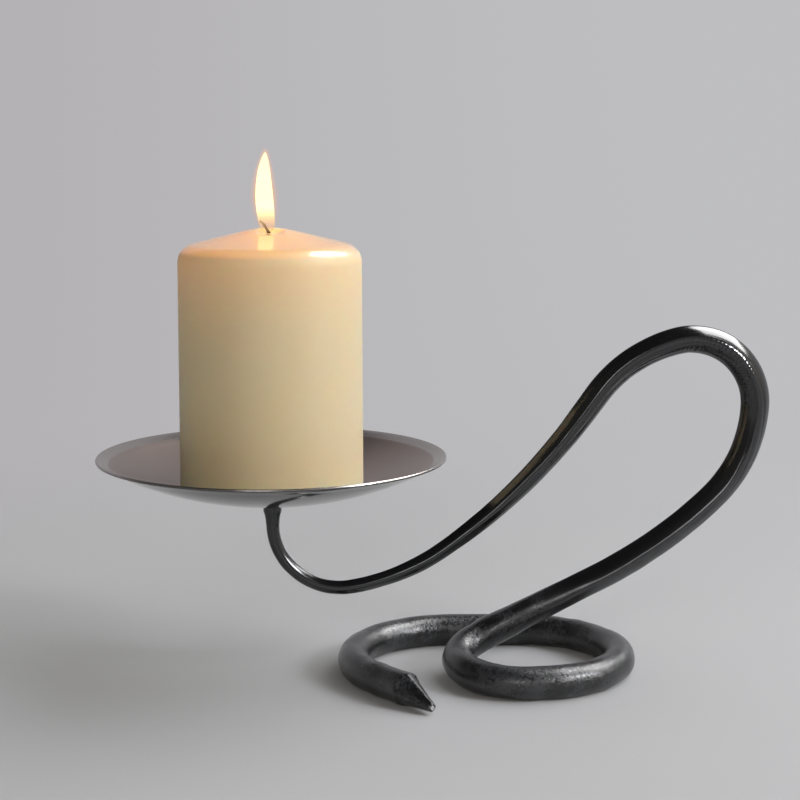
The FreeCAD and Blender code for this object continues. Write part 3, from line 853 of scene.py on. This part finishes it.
    def shape(self, piece: Piece, stations: list[Station]) -> None:
        """Give every ring its section, with the hammer's marks, and keep the underside flat.

        Args:
            piece: the swept tube.
            stations: the rings, in the order of the mesh's vertices.
        """
        ring = self.corners * self.side_steps
        angles = np.arange(ring) * 2 * np.pi / ring
        along = np.array([station.along for station in stations])
        width = np.array([station.width for station in stations])
        fullness = np.array([station.fullness for station in stations])
        places = np.array([station.place[:] for station in stations])
        normals = np.array([station.normal[:] for station in stations])
        across = np.array([station.heading.cross(station.normal)[:] for station in stations])
        radius = self.outline(angles, fullness) * width[:, None] / 2
        radius = np.minimum(radius, self.facet(along, angles) * width[:, None] / 2)
        radius = radius + self.marks(along, angles, radius)
        cosine, sine = np.cos(angles)[None, :], np.sin(angles)[None, :]
        surface = (places[:, None, :] + normals[:, None, :] * (radius * cosine)[..., None]
                   + across[:, None, :] * (radius * sine)[..., None])
        surface[..., 2] = np.maximum(surface[..., 2], 0.0)
        move_vertices(piece, surface.reshape(-1, 3))
        long = np.repeat(along[:, None], len(angles), axis=1)
        store(piece, "bar_space", np.stack([long, radius * cosine, radius * sine], -1) * MM)
        foot = 1 - faded(along, self.foot_end, self.foot_fade)
        store(piece, "foot",np.repeat(foot[:, None], len(angles), axis=1))
        corner = np.degrees(np.abs(np.mod(angles + np.pi / 4, np.pi / 2) - np.pi / 4))
        edge = np.exp(-(corner / self.arris_angle) ** 2)
        store(piece, "ridge", (1 - foot)[:, None] * edge[None, :])
        outer = plateau(np.degrees(angles), self.rough_middle, self.rough_half)
        riser = (faded(along, self.foot_end, self.rough_fade)
                 * faded(self.rough_end - along, 0.0, self.rough_end_fade))
        store(piece, "rough_side", riser[:, None] * outer[None, :])

    def facet(self, along: np.ndarray, angles: np.ndarray) -> np.ndarray:
        """Distance of the facet that the hammer left along the front ridge, in half widths."""
        first, last = self.facet_range
        share = faded(along, first, last - first)
        on_riser, on_arm = self.front_facet
        depth = on_riser + (on_arm - on_riser) * share * share * (3 - 2 * share)
        depth = depth + 0.014 * np.sin(along / 11.0) + 0.01 * np.sin(along / 4.7 + 2.0)
        depth = np.where(along < self.foot_end, 2.0, depth)
        off_front = turn_from(np.pi / 2, angles)
        front = np.abs(off_front) < 1.0
        cosine = np.where(front, np.cos(off_front), 0.1)
        return depth[:, None] / cosine[None, :]

    def marks(self, along: np.ndarray, angles: np.ndarray, radius: np.ndarray) -> np.ndarray:
        """How far the hammer moved the surface.

        Args:
            along: how far along the bar each station is.
            angles: angle of each corner of the ring.
            radius: the bar's radius at each vertex.

        Returns:
            The change of radius at each vertex, in millimetres.
        """
        draw = random.Random(self.seed)
        change = np.zeros_like(radius)
        foot = 1 - faded(along, self.foot_end, self.foot_fade)
        for _ in range(self.dents):
            where = draw.uniform(0, along[-1])
            angle = draw.uniform(0, 2 * math.pi)
            reach = draw.uniform(*self.dent_reach)
            depth = draw.uniform(*self.dent_depth)
            near = np.abs(along - where) < 2.5 * reach
            share = 0.35 + 0.65 * np.interp(where, along, foot)
            turn = turn_from(angle, angles)[None, :] * radius[near]
            gap = ((along[near] - where)[:, None] ** 2 + turn ** 2) / reach ** 2
            change[near] -= depth * share * np.exp(-gap)
        for where, angle, reach, depth in self.nicks:
            turn = turn_from(math.radians(angle), angles)[None, :] * radius
            gap = ((along[:, None] - where) ** 2 + turn ** 2) / reach ** 2
            change -= depth * np.exp(-gap)
        for begin, end, angle, end_angle in self.seams:
            share = faded(along, begin, end - begin)
            middle = angle + (end_angle - angle) * share + 4.0 * np.sin(along / 9.0 + begin)
            turn = turn_from(np.radians(middle)[:, None], angles[None, :]) * radius
            fade = np.sqrt(np.clip(np.sin(np.pi * share), 0, 1))
            change -= self.seam_depth * fade[:, None] * np.exp(-(turn / self.seam_half) ** 2)
        first, last = self.ripple_range
        window = plateau(along, (first + last) / 2, (last - first) / 2)
        wander = np.sin(along * 0.9) * 0.8 + np.sin(along * 0.37 + 1.0) * 1.4
        wave = np.sin(2 * np.pi * along / self.ripple_pitch + wander)
        front = plateau(np.degrees(angles), self.ripple_angle, self.ripple_half)
        change -= self.ripple_depth * (window * (0.5 + 0.5 * wave))[:, None] * front[None, :]
        grooves = np.sin(angles * 9 + 0.7)[None, :] * np.sin(along / 31.0)[:, None]
        change += self.groove_depth * (1 - foot)[:, None] * grooves
        return change


# Dish, candle, wick and flame


@dataclass(frozen=True)
class DripDish:
    """The spun dish: a flat seat, a round bowl, a crease and a lip."""

    under: float = 69.46
    sheet: float = 1.0
    hole: float = 1.6
    seat: float = 4.4
    rim: float = 66.5
    lip_width: float = 4.8
    lip_rise: float = 1.9
    bowl_depth: float = 14.7
    edge_round: float = 0.3

    def build(self) -> Piece:
        """Turn the dish and dress it."""
        slope = math.atan2(self.lip_rise, self.lip_width)
        rim_x = self.rim - self.sheet * math.sin(slope)
        crease_x = rim_x - self.lip_width
        run = crease_x ** 2 - self.seat ** 2 + self.bowl_depth ** 2
        height = run / (2 * self.bowl_depth)
        inside = math.hypot(height, self.seat)
        outside = inside + self.sheet
        centre = (0.0, self.under + self.sheet + height)
        to_seat = math.degrees(math.asin(self.seat / inside)) - 90.0
        to_crease = math.degrees(math.asin(crease_x / inside)) - 90.0
        lip = Vector((math.cos(slope), math.sin(slope)))
        square = Vector((-lip.y, lip.x))
        crease = Vector((crease_x, self.under + self.sheet + self.bowl_depth))
        rim = crease + lip * math.hypot(self.lip_width, self.lip_rise)
        rounding = []
        for degrees in range(-90, 91, 15):
            turn = math.radians(degrees)
            middle = rim - square * self.sheet / 2 - lip * self.edge_round
            rounding.append(tuple(middle + lip * (self.edge_round * math.cos(turn))
                                  + square * (self.sheet / 2 * math.sin(turn))))
        profile = [(self.hole, self.under), (self.seat - 0.5, self.under)]
        profile += arc(centre, outside, to_seat, to_crease - 0.3, 40)
        profile += [tuple(crease - square * self.sheet + lip * 0.5)]
        profile += rounding
        profile += [tuple(rim - lip * 2.0), tuple(crease + lip * 0.45)]
        profile += arc(centre, inside, to_crease - 0.25, to_seat, 40)
        profile += [(self.seat - 0.5, self.under + self.sheet),
                    (self.hole, self.under + self.sheet), (self.hole, self.under)]
        piece = Lathe((DISH_AXIS_X, 0.0), 192).turn("spun_dish", profile, closed=True)
        inner = [float(vertex.normal.z > 0.05) for vertex in piece.data.vertices]
        store(piece, "inner_side", np.array([inner]))
        dress(piece, 32.0, SpunSteel().material())
        return piece


@dataclass(frozen=True)
class Pillar:
    """The wax: a rounded foot, a straight side, a rounded shoulder and a burnt dome."""

    base: float = 74.97
    radius: float = 34.7
    top_radius: float = 34.4
    height: float = 97.5
    burnt_slope: float = 13.8
    crown_radius: float = 40.0
    crown_top: float = 173.1
    shoulder: float = 7.0
    foot_round: float = 1.0
    hole_foot: float = 2.07
    hole_tip: float = 0.6
    hole_top: float = 95.96
    melt_depth: float = 2.1
    melt_middle: float = -7.0
    melt_half: Pair = (6.0, 10.0)

    def build(self) -> Piece:
        """Turn the pillar, melt the wax before the wick and dress it."""
        top = self.crown_top
        slope = math.radians(self.burnt_slope)
        crown_edge = self.crown_radius * math.sin(slope)
        crown_foot = top - self.crown_radius * (1 - math.cos(slope))
        edge = self.top_radius - self.shoulder
        shoulder_edge = edge + self.shoulder * math.sin(slope)
        shoulder_top = crown_foot - (shoulder_edge - crown_edge) * math.tan(slope)
        side_top = shoulder_top - self.shoulder * math.cos(slope)
        profile = [(self.hole_tip, self.hole_top), (self.hole_foot, self.base)]
        profile += [(12.0, self.base), (26.0, self.base)]
        profile += arc((self.radius - self.foot_round, self.base + self.foot_round),
                       self.foot_round, -90.0, 0.0, 6)
        steps = 24
        for step in range(1, steps):
            share = step / steps
            side = self.radius + (self.top_radius - self.radius) * share
            profile.append((side, self.base + self.foot_round + (side_top - self.base) * share))
        profile += arc((edge, side_top), self.shoulder, 0.0, 90.0 - self.burnt_slope, 16)
        for step in range(1, steps):
            out = shoulder_edge + (crown_edge - shoulder_edge) * step / steps
            profile.append((out, crown_foot - (out - crown_edge) * math.tan(slope)))
        profile += arc((0.0, top - self.crown_radius), self.crown_radius,
                       90.0 - self.burnt_slope, 90.0, 14)[:-1]
        profile += [(0.3, top)]
        piece = Lathe((DISH_AXIS_X, 0.0), 160).turn("wax_pillar", profile)
        self.melt(piece, top)
        dress(piece, 50.0, Wax().material())
        return piece

    def melt(self, piece: Piece, top: float) -> None:
        """Sink the dome in front of the wick, where the flame has melted it."""
        places = coordinates(piece)
        across = (places[:, 0] - DISH_AXIS_X) / self.melt_half[0]
        deep = (places[:, 1] - self.melt_middle) / self.melt_half[1]
        share = np.clip(1 - (across ** 2 + deep ** 2), 0, 1)
        blend = share * share * (3 - 2 * share)
        floor = top - self.melt_depth
        upper = places[:, 2] > top - 8.0
        lower = np.minimum(places[:, 2], floor)
        places[:, 2] = np.where(upper, places[:, 2] + (lower - places[:, 2]) * blend, places[:, 2])
        move_vertices(piece, places)


@dataclass(frozen=True)
class Wick:
    """A short braided cord, bent over twice and charred."""

    root: Triple = (DISH_AXIS_X, -1.8, 168.4)
    radius: float = 0.6
    knot: float = 0.14

    def build(self) -> Piece:
        """Sweep the cord along its bends, twist its strands and dress it."""
        runs = [
            Run(Way.LOOP, 90.0, length=1.7),
            Run(Way.LOOP, 120.0, radius=2.4),
            Run(Way.LOOP, 120.0, length=3.1),
            Run(Way.LOOP, 154.0, radius=4.4),
        ]
        corners = 24
        piece, stations = sweep("wick_cord", Vector(self.root), Vector((0, 0, 1)), runs,
                                self.radius, corners, lambda run: 0.12)
        middles = np.repeat(np.array([station.place[:] for station in stations]), corners, axis=0)
        along = np.repeat([station.along for station in stations], corners)
        angles = np.tile(np.arange(corners) * 2 * np.pi / corners, len(stations))
        strands = np.abs(np.sin(1.5 * (angles + along * 1.9)))
        taper = 1.0 - 0.25 * along / along[-1]
        grow = taper * (1 + self.knot * (strands - 0.6) + 0.12 * np.sin(along * 2.3))
        places = coordinates(piece)
        move_vertices(piece, middles + (places - middles) * grow[:, None])
        lid(piece, 0, corners)
        lid(piece, corners * (len(stations) - 1), corners)
        outward(piece)
        dress(piece, 60.0, CharredWick().material())
        return piece


@dataclass(frozen=True)
class Flame:
    """The flame's heart and the faint shells round it, the outer two a painted glow."""

    foot: float = 171.6
    tip: float = 201.0
    lean: tuple[float, ...] = (-0.6, -1.55, -1.85, -2.0, -1.35)
    depth: float = -1.0
    shells: tuple[tuple[FlameLayer, float], ...] = (
        (FlameLayer.SHEATH, 0.55), (FlameLayer.HALO, 1.25), (FlameLayer.HAZE, 2.1))
    shape: tuple[Pair, ...] = (
        (0.3, 0.0), (1.5, 0.2), (2.4, 1.1), (2.85, 2.5), (3.1, 4.6), (3.3, 7.6), (3.32, 10.8),
        (3.2, 14.0), (2.98, 17.0), (2.65, 19.9), (2.24, 22.8), (1.8, 24.9), (1.35, 26.6),
        (0.95, 27.8), (0.6, 28.6), (0.3, 29.15), (0.08, 29.4))

    def build(self, layer: FlameLayer, growth: float) -> Piece:
        """Turn one shell, lean it over and dress it.

        Args:
            layer: which shell it is.
            growth: how far it stands out from the heart, in millimetres.

        Returns:
            The shell.
        """
        height = self.tip - self.foot
        profile = []
        for radius, level in self.shape:
            share = level / height
            bulge = 0.35 + 0.65 * math.sin(math.pi * min(1, share + 0.1))
            profile.append((radius + growth * bulge,
                            self.foot + level + growth * (2 * share - 1) * 0.8))
        piece = Lathe((DISH_AXIS_X, self.depth), 48).turn("flame_" + layer.value, profile)
        places = coordinates(piece)
        share = faded(places[:, 2], self.foot, height)
        knots = np.linspace(0, 1, len(self.lean))
        bend = np.polyfit(knots, self.lean, 3)
        places[:, 0] += np.polyval(bend, share)
        move_vertices(piece, places)
        dress(piece, 60.0, Glow(layer, self.foot - growth, self.tip + growth).material())
        return piece


# Studio


@dataclass(frozen=True)
class Softbox:
    """A square lamp that points at the object."""

    name: str
    place: Triple
    side: float
    watts: float
    in_diffuse: bool = True
    in_gloss: bool = True
    color: Triple = (1.0, 1.0, 1.0)
    aim: Triple = (0.0, 0.0, 0.07)

    def hang(self) -> None:
        """Add the lamp, in metres and watts."""
        lamp = bpy.data.lights.new(self.name, "AREA")
        lamp.shape = "SQUARE"
        lamp.size = self.side
        lamp.energy = self.watts
        lamp.color = self.color
        holder = bpy.data.objects.new(self.name, lamp)
        holder.location = self.place
        holder.visible_diffuse = self.in_diffuse
        holder.visible_glossy = self.in_gloss
        direction = Vector(self.aim) - Vector(self.place)
        holder.rotation_euler = direction.to_track_quat("-Z", "Y").to_euler()
        bpy.context.scene.collection.objects.link(holder)


@dataclass(frozen=True)
class Studio:
    """Pale floor and backdrop, soft lamps and the camera.

    The key lights matt surfaces only, and the two gleam lamps show only in gloss. Further out
    than wall_blend, in millimetres from the origin, the paper shines by itself, with painted
    light that is dimmer on the left and brighter on the right.
    """

    camera_place: Triple = (-0.1023, -0.7107, 0.218)
    azimuth: float = 7.0
    pitch: float = 8.8
    lens: float = 85.5
    backdrop_start: float = 0.55
    backdrop_bend: float = 0.5
    half_width: float = 7.5
    front: float = -7.5
    top: float = 0.55
    paper: Triple = (0.735, 0.725, 0.695)
    # Painted light: the paper's own shine is dimmer on the left and brighter on the right.
    wall_left_painted_dim: Triple = (0.45, 0.435, 0.45)
    wall_right_painted_bright: Triple = (0.515, 0.515, 0.53)
    wall_half: float = 380.0
    wall_blend: Pair = (150.0, 620.0)
    ceiling: float = 0.035
    left_side: float = 0.13
    right_side: float = 0.6
    room_color: Triple = (1.0, 0.965, 0.9)
    side_range: Pair = (-0.3, 0.9)
    height_range: Pair = (0.45, 0.9)
    lamps: tuple[Softbox, ...] = (
        Softbox("key", (1.1, 0.1, 1.25), 2.2, 19.0, in_gloss=False, color=(0.96, 0.99, 1.1)),
        Softbox("key_gleam", (0.83, 0.27, 1.02), 0.85, 25.0, in_diffuse=False),
        Softbox("ridge_light", (-0.42, -1.78, 0.75), 0.6, 5.7),
        Softbox("window", (1.2, -0.8, 0.85), 0.4, 7.0, color=(0.96, 0.99, 1.1)),
        Softbox("window_gleam", (1.22, -0.8, 0.74), 0.35, 14.0, in_diffuse=False),
    )

    def build(self) -> None:
        """Set up the paper, the lamps, the world and the camera."""
        self.roll_paper()
        for lamp in self.lamps:
            lamp.hang()
        bpy.context.scene.world = self.room()
        bpy.context.scene.view_settings.view_transform = "Standard"
        data = bpy.data.cameras.new("camera")
        data.lens = self.lens
        data.sensor_width = 36.0
        data.clip_start = 0.01
        camera = bpy.data.objects.new("camera", data)
        camera.location = self.camera_place
        camera.rotation_euler = (math.radians(90.0 - self.pitch), 0.0, math.radians(-self.azimuth))
        bpy.context.scene.collection.objects.link(camera)
        bpy.context.scene.camera = camera

    def room(self) -> bpy.types.World:
        """The room round the table: a dark ceiling, a dim left side and a pale right side."""
        world = bpy.data.worlds.new("room")
        world.use_nodes = True
        nodes = Nodes(world.node_tree)
        direction = nodes.node("ShaderNodeTexCoord", {}, {}).outputs["Generated"]
        parts = nodes.node("ShaderNodeSeparateXYZ", {}, {0: direction})
        side = Number(nodes, parts.outputs["X"]).between(*self.side_range)
        height = Number(nodes, parts.outputs["Z"]).between(*self.height_range)
        walls = side * (self.right_side - self.left_side) + self.left_side
        level = walls * (1 - height) + height * self.ceiling
        background = nodes.tree.nodes["Background"].inputs
        nodes.tree.links.new(level.socket, background["Strength"])
        background["Color"].default_value = (*self.room_color, 1.0)
        return world

    def roll_paper(self) -> Piece:
        """The sheet of paper that is floor and backdrop in one, bent behind the object."""
        bpy.ops.object.select_all(action="DESELECT")
        bpy.ops.mesh.primitive_plane_add(size=1.0)
        paper = bpy.context.object
        paper.name = "paper"
        paper.scale = (2 * self.half_width, self.backdrop_start - self.front, 1.0)
        paper.location = (0.0, (self.backdrop_start + self.front) / 2, 0.0)
        apply_place(paper)
        edit_some(paper, coordinates(paper)[:, 1] * MM > self.backdrop_start - 0.01)
        bpy.ops.mesh.spin(steps=24, angle=math.pi / 2, axis=(-1, 0, 0),
                          center=(0, self.backdrop_start, self.backdrop_bend))
        bpy.ops.mesh.extrude_region_move(TRANSFORM_OT_translate={"value": (0, 0, self.top)})
        done()
        only(paper)
        bpy.ops.object.shade_smooth()
        shader = Shader("paper", Roughness=0.95, Specular_IOR_Level=0.1)
        place = shader.place()
        cloud = shader.noise(place, 0.004, 2.0)
        dim = tuple(0.96 * value for value in self.paper)
        shader.vary(Base_Color=shader.mix(cloud, self.paper, dim))
        # Painted light: the paper's shine falls off from right to left, as the key's light would.
        across = shader.height_of(place, "X").between(-self.wall_half, self.wall_half)
        painted_wall_falloff = shader.mix(across, self.wall_left_painted_dim, self.wall_right_painted_bright)
        shine = shader.node("ShaderNodeEmission", {}, {"Color": painted_wall_falloff})
        rays = shader.node("ShaderNodeLightPath", {}, {}).outputs
        seen = (Number(shader, rays["Is Camera Ray"]) + Number(shader, rays["Is Glossy Ray"])
                + Number(shader, rays["Is Transmission Ray"]))
        away = shader.length_of(shader.stretched(place, (1.0, 1.0, 0.0)))
        share = seen * away.between(*self.wall_blend)
        both = shader.node("ShaderNodeMixShader", {}, {
            0: share, 1: shader.principled.outputs[0], 2: shine.outputs[0]})
        surface = shader.tree.nodes["Material Output"].inputs["Surface"]
        shader.tree.links.new(both.outputs[0], surface)
        paper.data.materials.append(shader.material)
        return paper


def place_piece(piece: Piece, body: str, slot: str, *nodes: str) -> None:
    """Tie a finished piece to its body, and hide the nodes that it stands for.

    Args:
        piece: the finished piece.
        body: the body that it moves with.
        slot: not used.
        nodes: the CAD nodes that it replaces.
    """
    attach(piece, body)
    if nodes:
        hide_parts(*nodes)
    LOG.info("%s rides on %s, %d faces", piece.name, body, len(piece.data.polygons))


def dress_spike(node: Piece) -> None:
    """Give the candle's spike its steel."""
    steel = GroundSteel().material()
    for slot in node.material_slots:
        slot.material = steel


def main() -> None:
    """Build the pieces in order, then the studio."""
    logging.basicConfig(level=logging.INFO, format="%(name)s: %(message)s")
    place_piece(ForgedStem().build(), "holder", "blackened_iron", "forged_stem")
    place_piece(DripDish().build(), "holder", "dish_steel", "drip_dish")
    dress_spike(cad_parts["candle_spike"])
    place_piece(Pillar().build(), "pillar", "wax", "candle")
    place_piece(Wick().build(), "pillar", "wick", "wick")
    flame = Flame()
    place_piece(flame.build(FlameLayer.HEART, 0.0), "pillar", "flame", "flame")
    for layer, growth in flame.shells:
        place_piece(flame.build(layer, growth), "pillar", "flame")
    Studio().build()


if __name__ == "__main__":
    main()
